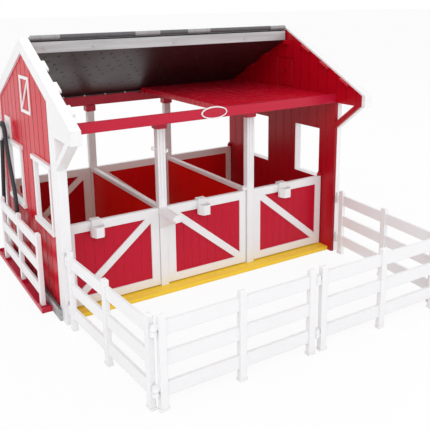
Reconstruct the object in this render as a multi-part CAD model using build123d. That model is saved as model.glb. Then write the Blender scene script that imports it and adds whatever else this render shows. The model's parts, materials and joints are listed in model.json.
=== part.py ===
from build123d import *
import math
import os

# Toy horse stable with a fenced yard, sizes in millimetres.
# X runs along the barn to the right gable, Y from front to back, Z up.
# The origin is the middle of the floor's underside.

os.makedirs("parts", exist_ok=True)

# Barn module: three stalls side by side
bay_pitch = 155.0
bay_count = 3
post_width = 12.5
post_depth = 10.0
door_gap = 0.5
running_gap = 0.05
seat_gap = 0.2

# Barn depth and heights
wall_depth = 309.0
door_setback = 28.0
rear_door_setback = 1.0
floor_thickness = 6.0
floor_setback = 9.4
header_bottom = 255.0
eave_face = 17.4
roof_rise = 96.1
front_overhang = 56.0
rear_overhang = 8.0
front_beam_height = 14.0
rear_beam_height = 16.4

# Gable wall build-up
liner_thickness = 5.0
shell_depth = 5.25
shell_skin = 2.5
trim_thickness = 3.0
corner_post_side = 24.0
corner_post_face = 4.0
board_pitch = 22.0
groove_width = 1.2
groove_depth = 0.7
inner_groove_depth = 0.4

# Windows, measured back from the wall's front edge
window_width = 63.0
window_height = 84.5
window_sill = 122.5
window_first = 37.0
window_second = 177.5
frame_stile = 6.5
frame_head = 6.5
frame_sleeve = 1.0
sleeve_inset = 0.8
jamb_relief = 42.0
jamb_rim = 3.0
head_overhang = 4.0
sill_projection = 2.0

# Loft hatch on each gable
hatch_width = 46.0
hatch_height = 53.0
hatch_drop = 101.0
hatch_stile = 4.5
hatch_relief = 1.6

# Eave bracket
brace_foot = 213.0
brace_vertical = 10.5
brace_horizontal = 12.0
brace_tip_inset = 4.0

# Bargeboard
barge_face = 14.0
barge_cap = 3.0
barge_end = 6.0
tab_length = 18.0
tab_reach = 6.0
tab_thickness = 3.0
tab_distances = (57.0, 103.5, 150.0)

# Roof panels
roof_side_gap = 2.5
roof_skin = 2.8
roof_depth = 16.0
roof_rim = 2.5
liner_plate = 2.0
roof_overhang = 3.0
roof_edge_back = 5.0
course_pitch = 25.0
course_depth = 0.7
axis_lift = 0.4
knuckle_radius = 3.2
rod_radius = 1.6
rear_knuckles = ((-223.5, -181.0), (-64.0, -21.0), (28.0, 70.0), (192.0, 223.5))
knuckle_gap = 0.5
front_rim_start = 32.0
front_rim_depth = 11.0
front_rim_inset = 1.5
fascia_thickness = 2.5
fascia_drop = 6.5
screw_radius = 2.4
screw_head = 1.0
screw_places = (-205.0, -131.0, 3.0, 138.0)
screw_height = 9.0

# Beams, loft and posts
beam_web = 6.0
beam_flange = 3.5
rear_beam_depth = 8.0
rear_ledge = 8.0
loft_left = 20.0
loft_plate = 3.0
loft_height = 8.5
loft_rim = 2.5
plank_pitch = 15.0
plank_groove_width = 2.2
plank_groove_depth = 1.2
stud_radius = 1.5
stud_pitch = 39.0
stud_count = 11
stud_shift = -8.0
cap_width = 17.5
cap_depth = 14.0
front_cap_height = 12.0
rear_cap_height = 11.0
cap_pocket = 6.0
post_proud = 1.3
post_socket = 3.0
flute_width = 1.8
flute_depth = 0.8
sign_width = 43.0
sign_height = 18.0
sign_centre = -5.5
sign_rise = 1.0
sign_thickness = 1.6
sign_border = 2.0
sign_recess = 0.6

# Doors
door_thickness = 6.0
door_stile = 13.25
door_bottom_rail = 12.5
door_top_rail = 13.0
door_height = 119.0
door_floor_gap = 2.0
door_brace = 11.0
door_board = 2.6
door_board_pitch = 14.0
board_lap = 4.0
pin_radius = 1.8
pin_length = 4.0
lug_thickness = 4.0
lug_gap = 0.6
lug_radius = 3.6
knob_radius = 2.2
knob_height = 3.2

# Stall dividers
divider_thickness = 4.0
divider_rail_width = 8.0
divider_rail_height = 6.5

# Tack on posts and doors
rack_length = 44.0
rack_radius = 8.0
rack_web = 9.0
rack_top = 128.0
rack_foot = 97.0
hook_reach = 5.5
hook_radius = 1.6
hook_heights = (214.0, 208.0)
hook_tip = 4.0
bucket_width = 19.0
bucket_front = 11.0
bucket_depth = 13.0
bucket_height = 15.0
bucket_wall = 1.4
bucket_top = 122.0
bracket_width = 14.0
bracket_thickness = 2.0
bracket_hold = 9.0
bracket_gap = 0.3
bucket_places = (-26.0, -11.5, -14.0)

# Yard fence panels
fence_length = 198.7
fence_height = 109.0
fence_post_width = 9.0
fence_post_depth = 6.0
fence_foot_spread = 1.0
fence_foot_height = 3.0
fence_rail_height = 16.2
fence_rail_depth = 3.5
fence_rail_bottoms = (16.0, 51.0, 85.8)
fence_top_round = 1.2
link_reach = 9.2
link_radius = 3.6
link_arm = 4.0
link_height = 5.6
link_gap = 0.3
link_bottoms = (18.5, 87.5)
link_pin_radius = 1.8
link_standoff = 5.0
link_from_outside = 5.0
left_side_turn = 3.8
slot_width = 4.4
slot_height = 16.5
slot_depth = 2.5

# Wash place along the left wall
footing_height = 16.5
footing_thickness = 3.5
footing_start = 16.5
tray_width = 15.0
tray_thickness = 4.0
tray_lip = 2.0
tray_lip_height = 8.0
tray_front = 50.0
tray_rear = 304.5
wash_fence_front = 63.0
wash_fence_offset = 9.6
foot_socket_wall = 2.0
hose_radius = 3.2
hose_clearance = 0.3
nozzle_radius = 3.9
nozzle_length = 18.0
hose_peg_radius = 8.6
hose_peg_flange = 3.0
hose_peg_offset = 211.5
hose_peg_play = 0.4
hose_peg_gap = 0.3
hose_plate_gap = 0.5

# Hose centreline as (distance back from the wall's front edge, height)
hose_route = (
    (197.0, 60.0),
    (191.5, 88.0),
    (192.0, 116.0),
    (201.0, 144.0),
    (215.5, 173.0),
    (226.0, 202.0),
    (231.8, 238.0),
    (252.6, 238.0),
    (255.0, 200.0),
    (263.0, 168.0),
    (271.5, 131.0),
    (279.0, 94.0),
    (286.0, 57.0),
    (292.0, 31.0),
    (292.0, 9.0),
)

# Derived places
front_y = -wall_depth / 2
rear_y = wall_depth / 2
inner_x = bay_count * bay_pitch / 2 - post_width / 2
liner_x = inner_x + liner_thickness
shell_x = liner_x + shell_depth
outer_x = shell_x + trim_thickness
door_front_y = front_y + door_setback
rear_door_y = rear_y - rear_door_setback - door_thickness
door_width = bay_pitch - post_width - 2 * door_gap
door_bottom = floor_thickness + door_floor_gap
door_top = door_bottom + door_height
front_tip = front_y - front_overhang
rear_tip = rear_y + rear_overhang
ridge_offset = (front_tip + rear_tip) / 2
eave_height = header_bottom + eave_face
ridge_height = eave_height + roof_rise
slope = 2 * roof_rise / (rear_tip - front_tip)
pitch_deg = math.degrees(math.atan(slope))
pitch_cos = math.cos(math.radians(pitch_deg))
bay_centres = [bay_pitch * (i - (bay_count - 1) / 2) for i in range(bay_count)]
post_centres = [bay_pitch * (i - (bay_count - 2) / 2) for i in range(bay_count - 1)]
rear_beam_top = (
    ridge_height - slope * (rear_y - ridge_offset) - roof_depth / pitch_cos - seat_gap
)
rear_beam_bottom = rear_beam_top - rear_beam_height
front_beam_top = header_bottom + front_beam_height
hatch_bottom = ridge_height - hatch_drop
loft_top = header_bottom + beam_flange + loft_height
window_head_top = window_sill + window_height + frame_head
hose_peg_height = window_head_top + hose_peg_gap + hose_peg_radius - hose_peg_play


def block(x0, x1, y0, y1, z0, z1):
    """Box between two corners, given in any order."""
    size = (abs(x1 - x0), abs(y1 - y0), abs(z1 - z0))
    return Pos((x0 + x1) / 2, (y0 + y1) / 2, (z0 + z1) / 2) * Box(*size)


def yz_face(points):
    """Flat outline in the plane across the barn, from (y, z) points."""
    return make_face(Polyline(*points, close=True))


def yz_prism(outline, x0, x1):
    """Outline in (y, z) drawn out from x0 to x1, in any order."""
    low = min(x0, x1)
    return extrude(Plane.YZ.offset(low) * outline, amount=abs(x1 - x0))


def xz_prism(points, y0, y1):
    """Outline in (x, z) drawn out from y0 to y1."""
    face = Plane.XZ.offset(-y1) * make_face(Polyline(*points, close=True))
    return extrude(face, amount=y1 - y0)


def xy_prism(points, z0, z1):
    """Outline in (x, y) drawn up from z0 to z1."""
    face = Plane.XY.offset(z0) * make_face(Polyline(*points, close=True))
    return extrude(face, amount=z1 - z0)


def upright(x, y, z0, z1, radius):
    """Round pin standing on z0."""
    return Pos(x, y, (z0 + z1) / 2) * Cylinder(radius, z1 - z0)


def along_x(x0, x1, y, z, radius):
    """Round bar along X."""
    return Pos((x0 + x1) / 2, y, z) * Rot(0, 90, 0) * Cylinder(radius, abs(x1 - x0))


def along_y(x, y0, y1, z, radius):
    """Round bar along Y."""
    return Pos(x, (y0 + y1) / 2, z) * Rot(90, 0, 0) * Cylinder(radius, abs(y1 - y0))


def roof_line(y, lift=0.0):
    """Height of the gable's sloping edge at y, raised square to the slope by lift."""
    return ridge_height - slope * abs(y - ridge_offset) + lift / pitch_cos


def slope_band(y0, y1, low, high):
    """Band that follows one roof slope from y0 to y1, between two lifts."""
    return yz_face(
        [
            (y0, roof_line(y0, low)),
            (y1, roof_line(y1, low)),
            (y1, roof_line(y1, high)),
            (y0, roof_line(y0, high)),
        ]
    )


def tab_spans():
    """Y spans of the tabs on the front slope, from the ridge down."""
    return [
        (ridge_offset - d - tab_length / 2, ridge_offset - d + tab_length / 2)
        for d in tab_distances
    ]


def window_face(start, grow=0.0):
    """Window outline, start measured back from the wall's front edge."""
    y0 = front_y + start - grow
    y1 = front_y + start + window_width + grow
    z0 = window_sill - grow
    z1 = window_sill + window_height + grow
    return yz_face([(y0, z0), (y1, z0), (y1, z1), (y0, z1)])


def bracket_face():
    """Sloping strut of the eave bracket."""
    return yz_face(
        [
            (front_y, brace_foot),
            (front_y, brace_foot + brace_vertical),
            (front_tip + brace_tip_inset + brace_horizontal, header_bottom),
            (front_tip + brace_tip_inset, header_bottom),
        ]
    )


def gable_face(front_edge, rear_edge):
    """Gable outline with its eave returns, between the wall's front and rear edges."""
    return yz_face(
        [
            (front_edge, 0),
            (front_edge, header_bottom),
            (front_tip, header_bottom),
            (front_tip, roof_line(front_tip)),
            (ridge_offset, ridge_height),
            (rear_tip, roof_line(rear_tip)),
            (rear_tip, header_bottom),
            (rear_edge, header_bottom),
            (rear_edge, 0),
        ]
    )


def hatch_outline():
    """Hatch frame outline in (y, z)."""
    y0 = ridge_offset - hatch_width / 2
    y1 = ridge_offset + hatch_width / 2
    z0 = hatch_bottom
    z1 = hatch_bottom + hatch_height
    return y0, y1, z0, z1


def hatch_frame(x0, x1, front_high):
    """Hatch frame with its diagonal, drawn out from x0 to x1."""
    y0, y1, z0, z1 = hatch_outline()
    s = hatch_stile
    ring = block(x0, x1, y0, y1, z0, z1)
    ring -= block(min(x0, x1) - 1, max(x0, x1) + 1, y0 + s, y1 - s, z0 + s, z1 - s)
    corner = s * 0.5
    w = s * 0.75
    if front_high:
        points = [(y0 + corner, z1 - corner), (y1 - corner, z0 + corner)]
    else:
        points = [(y1 - corner, z1 - corner), (y0 + corner, z0 + corner)]
    (ya, za), (yb, zb) = points
    run = math.hypot(yb - ya, zb - za)
    ny = -(zb - za) / run * w / 2
    nz = (yb - ya) / run * w / 2
    strut = yz_prism(
        yz_face([(ya + ny, za + nz), (yb + ny, zb + nz), (yb - ny, zb - nz), (ya - ny, za - nz)]),
        x0,
        x1,
    )
    return ring + strut


def hinge_lug(x, y, wall_x, red_knob=True):
    """Top pivot lug of a door, reaching from a post or wall at wall_x to the pin."""
    z0 = door_top + lug_gap
    z1 = z0 + lug_thickness
    lug = upright(x, y, z0, z1, lug_radius)
    lug += block(x, wall_x, y - lug_radius, y + lug_radius, z0, z1)
    if red_knob:
        lug += upright(x, y, z1, z1 + knob_height, knob_radius)
    lug -= upright(x, y, z0 - 1, z0 + pin_length, pin_radius + running_gap)
    return lug


def gable_liner(side):
    """Inner half of a gable wall: plain red sheet with the window openings."""
    front_edge = front_y if side > 0 else front_y + corner_post_face
    x0 = side * inner_x
    x1 = side * liner_x
    wall = yz_prism(gable_face(front_edge, rear_y), x0, x1)
    if side > 0:
        wall += yz_prism(bracket_face(), x0, x1)
    for start in (window_first, window_second):
        wall -= yz_prism(window_face(start), x0 - side, x1 + side)
        if side > 0:
            sleeved = window_face(start, frame_sleeve)
            wall -= yz_prism(sleeved, x0 + side * sleeve_inset, x1 + side)
        else:
            wall -= block(
                x0 - side,
                x1 + side,
                front_y + start,
                front_y + start + window_width + jamb_relief,
                window_sill - jamb_rim,
                window_sill + window_height + jamb_rim,
            )
    for y0, y1 in tab_spans():
        tab = slope_band(y0, y1, -tab_thickness, 0)
        if side > 0:
            wall += yz_prism(tab, x0 + side, x0 - side * tab_reach)
        else:
            wall -= yz_prism(slope_band(y0, y1, -tab_thickness, 1), x0 - side, x1 + side)
        rear0 = 2 * ridge_offset - y1
        rear1 = 2 * ridge_offset - y0
        low = -roof_depth - seat_gap - tab_thickness
        high = -roof_depth - seat_gap
        if roof_line(rear1, low) > loft_top + seat_gap:
            wall += yz_prism(slope_band(rear0, rear1, low, high), x0 + side, x0 - side * tab_reach)
    ridge_lug_top = ridge_height - roof_depth / pitch_cos - seat_gap
    wall += block(
        x0 + side,
        x0 - side * tab_reach,
        ridge_offset,
        ridge_offset - 10,
        ridge_lug_top - 7,
        ridge_lug_top,
    )
    wall -= hatch_frame(x0, x0 + side * hatch_relief, side > 0)
    y = front_y + board_pitch
    while y < rear_y - board_pitch / 2:
        wall -= block(
            x0,
            x0 + side * inner_groove_depth,
            y - groove_width / 2,
            y + groove_width / 2,
            0,
            window_sill + window_height * 1.6,
        )
        y += board_pitch
    hinge_x = side * (inner_x - door_gap - door_thickness / 2)
    for mid_y in (door_front_y + door_thickness / 2, rear_door_y + door_thickness / 2):
        wall += hinge_lug(hinge_x, mid_y, x0)
    return wall


def gable_shell(side):
    """Outer half of a gable wall: hollow pan with vertical boards."""
    front_edge = front_y + corner_post_face
    x0 = side * liner_x
    x1 = side * shell_x
    rim = 2 * shell_skin
    rear_edge = rear_y - corner_post_face
    core = yz_face(
        [
            (front_edge + rim, rim),
            (front_edge + rim, roof_line(front_edge + rim, -rim)),
            (ridge_offset, roof_line(ridge_offset, -rim)),
            (rear_edge - rim, roof_line(rear_edge - rim, -rim)),
            (rear_edge - rim, rim),
        ]
    )
    wall = yz_prism(gable_face(front_edge, rear_edge), x0, x1)
    if side > 0:
        for start in (window_first, window_second):
            core -= window_face(start, rim)
    wall -= yz_prism(core, x0 - side * 1, x1 - side * shell_skin)
    for start in (window_first, window_second):
        wall -= yz_prism(window_face(start), x0 - side * 1, x1 + side * 1)
        sleeve_end = x0 - side * 1 if side > 0 else x1 - side * shell_skin
        wall -= yz_prism(window_face(start, frame_sleeve), sleeve_end, x1 + side * 1)
    y = front_y + corner_post_side + board_pitch / 2
    while y < rear_y - corner_post_side:
        wall -= block(
            x1,
            x1 - side * groove_depth,
            y - groove_width / 2,
            y + groove_width / 2,
            0,
            ridge_height,
        )
        y += board_pitch
    return wall


def bargeboard(side):
    """White roof-edge trim with its cap, eave returns, bracket face and roof tabs."""
    x0 = side * shell_x
    x1 = side * outer_x
    xi = side * inner_x
    face_front = slope_band(front_tip, ridge_offset, -barge_face, 0)
    face_rear = slope_band(ridge_offset, rear_tip, -barge_face, 0)
    trim = yz_prism(face_front, x0, x1) + yz_prism(face_rear, x0, x1)
    post_back = front_y + corner_post_side
    trim += yz_prism(
        yz_face(
            [
                (front_tip, header_bottom),
                (post_back, header_bottom),
                (post_back, roof_line(post_back)),
                (front_tip, roof_line(front_tip)),
            ]
        ),
        x0,
        x1,
    )
    rear_back = rear_y - corner_post_side
    trim += yz_prism(
        yz_face(
            [
                (rear_tip, header_bottom),
                (rear_back, header_bottom),
                (rear_back, roof_line(rear_back)),
                (rear_tip, roof_line(rear_tip)),
            ]
        ),
        x0,
        x1,
    )
    trim += yz_prism(bracket_face(), xi if side < 0 else side * liner_x, x1)
    cap_front = slope_band(front_tip - barge_end, ridge_offset, 0, barge_cap)
    cap_rear = slope_band(ridge_offset, rear_tip + barge_end, 0, barge_cap)
    trim += yz_prism(cap_front, xi, x1) + yz_prism(cap_rear, xi, x1)
    for tip, end in ((front_tip, front_tip - barge_end), (rear_tip, rear_tip + barge_end)):
        trim += yz_prism(
            yz_face(
                [
                    (tip, header_bottom),
                    (end, header_bottom),
                    (end, roof_line(end, barge_cap / 2)),
                    (tip, roof_line(tip, barge_cap / 2)),
                ]
            ),
            xi,
            x1,
        )
    if side < 0:
        for y0, y1 in tab_spans():
            tab = slope_band(y0, y1, -tab_thickness, 0)
            trim += yz_prism(tab, side * liner_x, side * (inner_x - tab_reach))
            root = slope_band(y0, y1, -tab_thickness, barge_cap / 2)
            trim += yz_prism(root, side * liner_x, xi)
    return trim


def corner_post(side, front):
    """Corner trim of a gable wall; the front ones carry the yard fence's hinge rings."""
    edge = front_y if front else rear_y
    inward = 1 if front else -1
    x_in = side * liner_x
    if side < 0 and front:
        x_in = side * inner_x
    side_end = edge + inward * corner_post_side
    post = block(side * shell_x, side * outer_x, edge, side_end, 0, header_bottom)
    post += block(x_in, side * outer_x, edge, edge + inward * corner_post_face, 0, header_bottom)
    if not front:
        return post
    ring_x = side * (outer_x - link_from_outside)
    ring_y = edge - link_standoff
    for z in link_bottoms:
        post -= block(
            ring_x - slot_width / 2,
            ring_x + slot_width / 2,
            edge,
            edge + slot_depth,
            z - 1.5,
            z - 1.5 + slot_height,
        )
        ring = upright(ring_x, ring_y, z, z + link_height, link_radius)
        ring += block(
            ring_x - link_arm / 2, ring_x + link_arm / 2, ring_y, edge + slot_depth, z, z + link_height
        )
        ring -= upright(ring_x, ring_y, z - 1, z + link_height + 1, link_pin_radius + running_gap)
        post += ring
    return post


def window_frame(side, start):
    """Window trim: two stiles, a head, a projecting sill and a sleeve into the wall."""
    x0 = side * shell_x
    x1 = side * outer_x
    x2 = side * (outer_x + sill_projection)
    y0 = front_y + start
    y1 = y0 + window_width
    z0 = window_sill
    z1 = window_sill + window_height
    s = frame_stile
    frame = block(x0, x1, y0 - s, y1 + s, z0 - s, z1 + frame_head)
    frame -= block(x0, x1, y0, y1, z0, z1)
    sleeve_end = inner_x + sleeve_inset if side > 0 else x0 - side * shell_skin
    frame += yz_prism(window_face(start, frame_sleeve) - window_face(start), sleeve_end, x0)
    over = s + head_overhang
    frame += block(x0, x2, y0 - over, y1 + over, z1, z1 + frame_head)
    frame += block(x0, x2, y0 - over, y1 + over, z0 - frame_head, z0)
    return frame


def loft_hatch(side):
    """Raised hatch trim on the outside of a gable."""
    return hatch_frame(side * shell_x, side * (shell_x + hatch_relief), True)


def floor_plate():
    """Floor with its front apron, post sockets, pivot bores and hollow underside."""
    floor = block(-inner_x, inner_x, front_y + floor_setback, rear_y, 0, floor_thickness)
    for x in post_centres:
        half = post_width / 2 + seat_gap
        for y0, y1 in (front_post_y(), rear_post_y()):
            floor -= block(
                x - half,
                x + half,
                y0 - seat_gap,
                y1 + seat_gap,
                floor_thickness - post_socket,
                floor_thickness + 1,
            )
    for i in range(bay_count):
        x = hinge_x_of(i)
        for y in (door_front_y + door_thickness / 2, rear_door_y + door_thickness / 2):
            floor -= upright(x, y, 1.5, floor_thickness + 1, pin_radius + running_gap)
    rib = 6.0
    for x in bay_centres:
        half = bay_pitch / 2 - post_width
        for y0, y1 in ((door_front_y + 24, -rib), (rib, rear_door_y - 20)):
            floor -= block(x - half, x + half, y0, y1, -1, floor_thickness / 2)
    return floor


def front_post_y():
    """Front and back faces of the front posts."""
    return door_front_y - post_proud, door_front_y - post_proud + post_depth


def rear_post_y():
    """Front and back faces of the rear posts."""
    return rear_y - post_depth, rear_y


def hinge_x_of(index):
    """X of a door's hinge pins: the left door hangs on the left, the others on the right."""
    hand = -1 if index == 0 else 1
    return bay_centres[index] + hand * (door_width / 2 - door_thickness / 2)


def post(x, y_faces, top):
    """Fluted stall post."""
    y0, y1 = y_faces
    low = floor_thickness - post_socket
    body = block(x - post_width / 2, x + post_width / 2, y0, y1, low, top)
    for u in (-1, 1):
        fx = x + u * post_width / 5
        for face in (y0, y1):
            body -= block(
                fx - flute_width / 2,
                fx + flute_width / 2,
                face - flute_depth,
                face + flute_depth,
                door_top + 12,
                top + 1,
            )
    return body


def post_cap(x, y_faces, top, height):
    """Socket block between a post and the beam above it."""
    y0, y1 = y_faces
    mid = (y0 + y1) / 2
    cap = block(
        x - cap_width / 2, x + cap_width / 2, mid - cap_depth / 2, mid + cap_depth / 2, top - height, top
    )
    cap = chamfer(cap.faces().sort_by(Axis.Z)[0].edges(), 1.5)
    half = post_width / 2 + seat_gap
    cap -= block(
        x - half, x + half, y0 - seat_gap, y1 + seat_gap, top - height - 1, top - height + cap_pocket
    )
    return cap


def front_beam():
    """Front header: upright web with a flange back over the posts."""
    web = block(-inner_x, inner_x, front_y, front_y + beam_web, header_bottom, front_beam_top)
    flange = block(
        -inner_x,
        inner_x,
        front_y + beam_web,
        front_post_y()[1],
        header_bottom,
        header_bottom + beam_flange,
    )
    return web + flange


def rear_beam():
    """Rear header with a ledge under the loft."""
    y0 = rear_y - rear_beam_depth
    beam = block(-inner_x, inner_x, y0, rear_y, rear_beam_bottom, rear_beam_top)
    beam += block(
        loft_left, inner_x, y0 - rear_ledge, y0, header_bottom, header_bottom + beam_flange
    )
    return beam


def roof_studs():
    """Pegs on the rear beam that locate the roof's underside."""
    studs = []
    y = rear_y - rear_beam_depth + 2
    for i in range(stud_count):
        x = stud_shift + stud_pitch * (i - (stud_count - 1) / 2)
        top = roof_line(y, -roof_depth) - seat_gap - slope * stud_radius
        studs.append(upright(x, y, rear_beam_top, top, stud_radius))
    return studs


def sign_plate():
    """Plain oval plate on the front beam."""
    mid_z = (header_bottom + front_beam_top) / 2 + sign_rise
    plane = Plane.XZ.offset(-front_y) * Pos(sign_centre, mid_z)
    plate = extrude(plane * Ellipse(sign_width / 2, sign_height / 2), amount=sign_thickness)
    inner = Ellipse(sign_width / 2 - sign_border, sign_height / 2 - sign_border)
    face = Plane.XZ.offset(-front_y + sign_thickness) * Pos(sign_centre, mid_z)
    plate -= extrude(face * inner, amount=-sign_recess)
    return plate


def under_roof(height):
    """How far back something this high reaches before it meets the roof liner."""
    return ridge_offset + (ridge_height - roof_depth / pitch_cos - seat_gap - height) / slope


def loft_panel(x0, x1):
    """One half of the loft floor: planked plate on a rim."""
    y0 = front_y + beam_web + seat_gap
    y1 = min(rear_y - rear_beam_depth - seat_gap, under_roof(loft_top))
    z0 = header_bottom + beam_flange
    z1 = loft_top
    panel = block(x0, x1, y0, y1, z0, z1)
    panel -= block(
        x0 + loft_rim, x1 - loft_rim, y0 + loft_rim, y1 - loft_rim, z0 - 1, z1 - loft_plate
    )
    y = y0 + plank_pitch
    while y < y1 - plank_pitch / 2:
        half = plank_groove_width / 2
        panel -= block(x0, x1, y - half, y + half, z1 - plank_groove_depth, z1)
        y += plank_pitch
    return panel


def door_frame(index, face_y, lean):
    """Door frame with its brace and pivot pins; lean +1 rises to the right."""
    cx = bay_centres[index]
    x0 = cx - door_width / 2
    x1 = cx + door_width / 2
    y0 = face_y
    y1 = face_y + door_thickness
    z0 = door_bottom
    z1 = door_top
    hand = -1 if index == 0 else 1
    hinge_x = hinge_x_of(index)
    mid_y = (y0 + y1) / 2
    half = door_thickness / 2
    edge_in = hinge_x
    far = x1 if hand < 0 else x0
    frame = block(edge_in, far, y0, y1, z0, z1) + upright(hinge_x, mid_y, z0, z1, half)
    ix0 = x0 + door_stile
    ix1 = x1 - door_stile
    iz0 = z0 + door_bottom_rail
    iz1 = z1 - door_top_rail
    frame -= block(ix0, ix1, y0 - 1, y1 + 1, iz0, iz1)
    angle = math.atan2(iz1 - iz0, ix1 - ix0)
    wide = door_brace / 2 / math.cos(angle)
    rise = 1 if lean > 0 else -1
    za = iz0 if rise > 0 else iz1
    zb = iz1 if rise > 0 else iz0
    reach = door_stile / 2
    grade = (zb - za) / (ix1 - ix0)
    strut = [
        (ix0 - reach, za - grade * reach - wide),
        (ix1 + reach, zb + grade * reach - wide),
        (ix1 + reach, zb + grade * reach + wide),
        (ix0 - reach, za - grade * reach + wide),
    ]
    brace = xz_prism(strut, y0, y1) & block(x0 + 1, x1 - 1, y0, y1, z0 + 1, z1 - 1)
    frame += brace & block(ix0 - reach, ix1 + reach, y0, y1, z0 + 1, z1 - 1)
    board_low = mid_y - door_board / 2
    board_high = mid_y + door_board / 2
    frame -= block(
        ix0 - board_lap, ix1 + board_lap, board_low, board_high, iz0 - board_lap, iz1 + board_lap
    )
    frame += upright(hinge_x, mid_y, z0 - pin_length, z0, pin_radius)
    frame += upright(hinge_x, mid_y, z1, z1 + pin_length, pin_radius)
    return frame


def door_panel(index, face_y):
    """Red infill board of a door, held in the frame's groove."""
    cx = bay_centres[index]
    mid_y = face_y + door_thickness / 2
    x0 = cx - door_width / 2 + door_stile - board_lap
    x1 = cx + door_width / 2 - door_stile + board_lap
    z0 = door_bottom + door_bottom_rail - board_lap
    z1 = door_top - door_top_rail + board_lap
    y0 = mid_y - door_board / 2
    y1 = mid_y + door_board / 2
    panel = block(x0, x1, y0, y1, z0, z1)
    x = cx - door_width / 2 + door_stile + door_board_pitch
    while x < cx + door_width / 2 - door_stile - door_board_pitch / 2:
        for face in (y0, y1):
            panel -= block(
                x - groove_width / 2, x + groove_width / 2, face - 0.4, face + 0.4, z0, z1
            )
        x += door_board_pitch
    return panel


def bucket(index):
    """Feed bucket with the bracket that hooks over a door's top rail."""
    cx = bay_centres[index] + bucket_places[index]
    back = door_front_y - bracket_gap
    plate_front = back - bracket_thickness
    top = door_top + bracket_gap
    low = bucket_top - bucket_height
    half = bracket_width / 2
    body = block(cx - half, cx + half, plate_front, back, low, top + bracket_thickness)
    over = door_front_y + door_thickness + bracket_gap + bracket_thickness
    body += block(cx - half, cx + half, plate_front, over, top, top + bracket_thickness)
    body += block(
        cx - half, cx + half, over - bracket_thickness, over, top - bracket_hold, top
    )
    outer = bucket_plan(cx, plate_front, 0.0)
    body += xy_prism(outer, low, bucket_top)
    body -= xy_prism(bucket_plan(cx, plate_front, bucket_wall), low + bucket_wall, bucket_top + 1)
    return body


def bucket_plan(cx, back, inset):
    """Half-hexagon plan of a bucket."""
    wide = bucket_width / 2 - inset
    narrow = bucket_front / 2 - inset * 0.6
    return [
        (cx - wide, back - inset),
        (cx - wide, back - bucket_depth * 0.4),
        (cx - narrow, back - bucket_depth + inset),
        (cx + narrow, back - bucket_depth + inset),
        (cx + wide, back - bucket_depth * 0.4),
        (cx + wide, back - inset),
    ]


def divider_panel(x):
    """Red stall divider between a front and a rear post."""
    y0 = front_post_y()[1]
    y1 = rear_post_y()[0]
    half = divider_thickness / 2
    return block(x - half, x + half, y0, y1, floor_thickness, door_top - divider_rail_height)


def divider_rail(x):
    """White top rail of a stall divider."""
    y0 = front_post_y()[1]
    y1 = rear_post_y()[0]
    half = divider_rail_width / 2
    rail = block(x - half, x + half, y0, y1, door_top - divider_rail_height, door_top)
    return chamfer(rail.faces().sort_by(Axis.Z)[-1].edges().filter_by(Axis.Y), 1.0)


def saddle_rack():
    """Saddle rest on the front of the left post: a half barrel on a web."""
    x = post_centres[0]
    back = front_post_y()[0]
    tip = back - rack_length
    axis_z = rack_top - rack_radius
    barrel = along_y(x, tip, back, axis_z, rack_radius)
    barrel &= block(x - 20, x + 20, tip, back, axis_z, rack_top + 1)
    web = yz_prism(
        yz_face(
            [
                (back, rack_foot),
                (back, axis_z),
                (tip, axis_z),
                (tip, axis_z - 3),
            ]
        ),
        x - rack_web / 2,
        x + rack_web / 2,
    )
    return barrel + web


def tack_hook(side, z):
    """Small hook on one side of the left post."""
    x = post_centres[0] + side * post_width / 2
    y0, y1 = front_post_y()
    mid = (y0 + y1) / 2
    end = x + side * hook_reach
    arm = along_x(x, end, mid, z, hook_radius)
    tip = upright(end, mid, z - hook_radius * 0.5, z + hook_tip, hook_radius)
    return arm + tip


def slope_frame():
    """Hinge axis of the roof: its y and z."""
    z = ridge_height + (barge_cap + axis_lift) / pitch_cos
    return ridge_offset, z


def slope_box(x0, x1, s0, s1, n0, n1):
    """Box on the rear slope: s down the slope from the axis, n square to it."""
    y, z = slope_frame()
    flat = block(x0, x1, s0, s1, n0, n1)
    return Pos(0, y, z) * Rot(-pitch_deg, 0, 0) * flat


def folded_box(x0, x1, s0, s1, n0, n1):
    """Box of the front roof, folded over onto the rear slope; n0 to n1 as when closed."""
    return slope_box(x0, x1, s0, s1, -n1, -n0)


def roof_length(tip_y):
    """Slope length from the ridge to past an eave tip."""
    return (abs(tip_y - ridge_offset) + barge_end + roof_overhang) / pitch_cos


def rear_roof():
    """Fixed rear roof tray with its half of the ridge hinge."""
    edge = inner_x - roof_side_gap
    top = -axis_lift
    bottom = -axis_lift - barge_cap - roof_depth
    length = roof_length(rear_tip)
    s_top = roof_edge_back
    tray = slope_box(-edge, edge, s_top, length, top - roof_skin, top)
    rim_low = bottom + liner_plate
    behind = block(-edge, edge, ridge_offset, 2 * rear_tip, 0, 2 * ridge_height)
    for x0, x1 in ((-edge, -edge + roof_rim), (edge - roof_rim, edge)):
        tray += slope_box(x0, x1, s_top + 2, length, rim_low, top) & behind
    tray += slope_box(-edge, edge, length - roof_rim, length, rim_low, top)
    s = s_top + course_pitch
    while s < length - course_pitch / 2:
        tray -= slope_box(-edge, edge, s, s + groove_width, top - course_depth, top + 1)
        s += course_pitch
    y, z = slope_frame()
    for x0, x1 in rear_knuckles:
        tray += slope_box(x0, x1, 0, s_top + 1, top - roof_skin, top)
        tray += along_x(x0, x1, y, z, knuckle_radius)
    tray -= along_x(-edge - 1, edge + 1, y, z, rod_radius + running_gap)
    return tray


def rear_roof_liner():
    """Closed underside of the rear roof tray."""
    edge = inner_x - roof_side_gap
    bottom = -axis_lift - barge_cap - roof_depth
    length = roof_length(rear_tip)
    behind = block(-edge, edge, ridge_offset, 2 * rear_tip, 0, 2 * ridge_height)
    return slope_box(-edge, edge, 0, length, bottom, bottom + liner_plate) & behind


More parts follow.
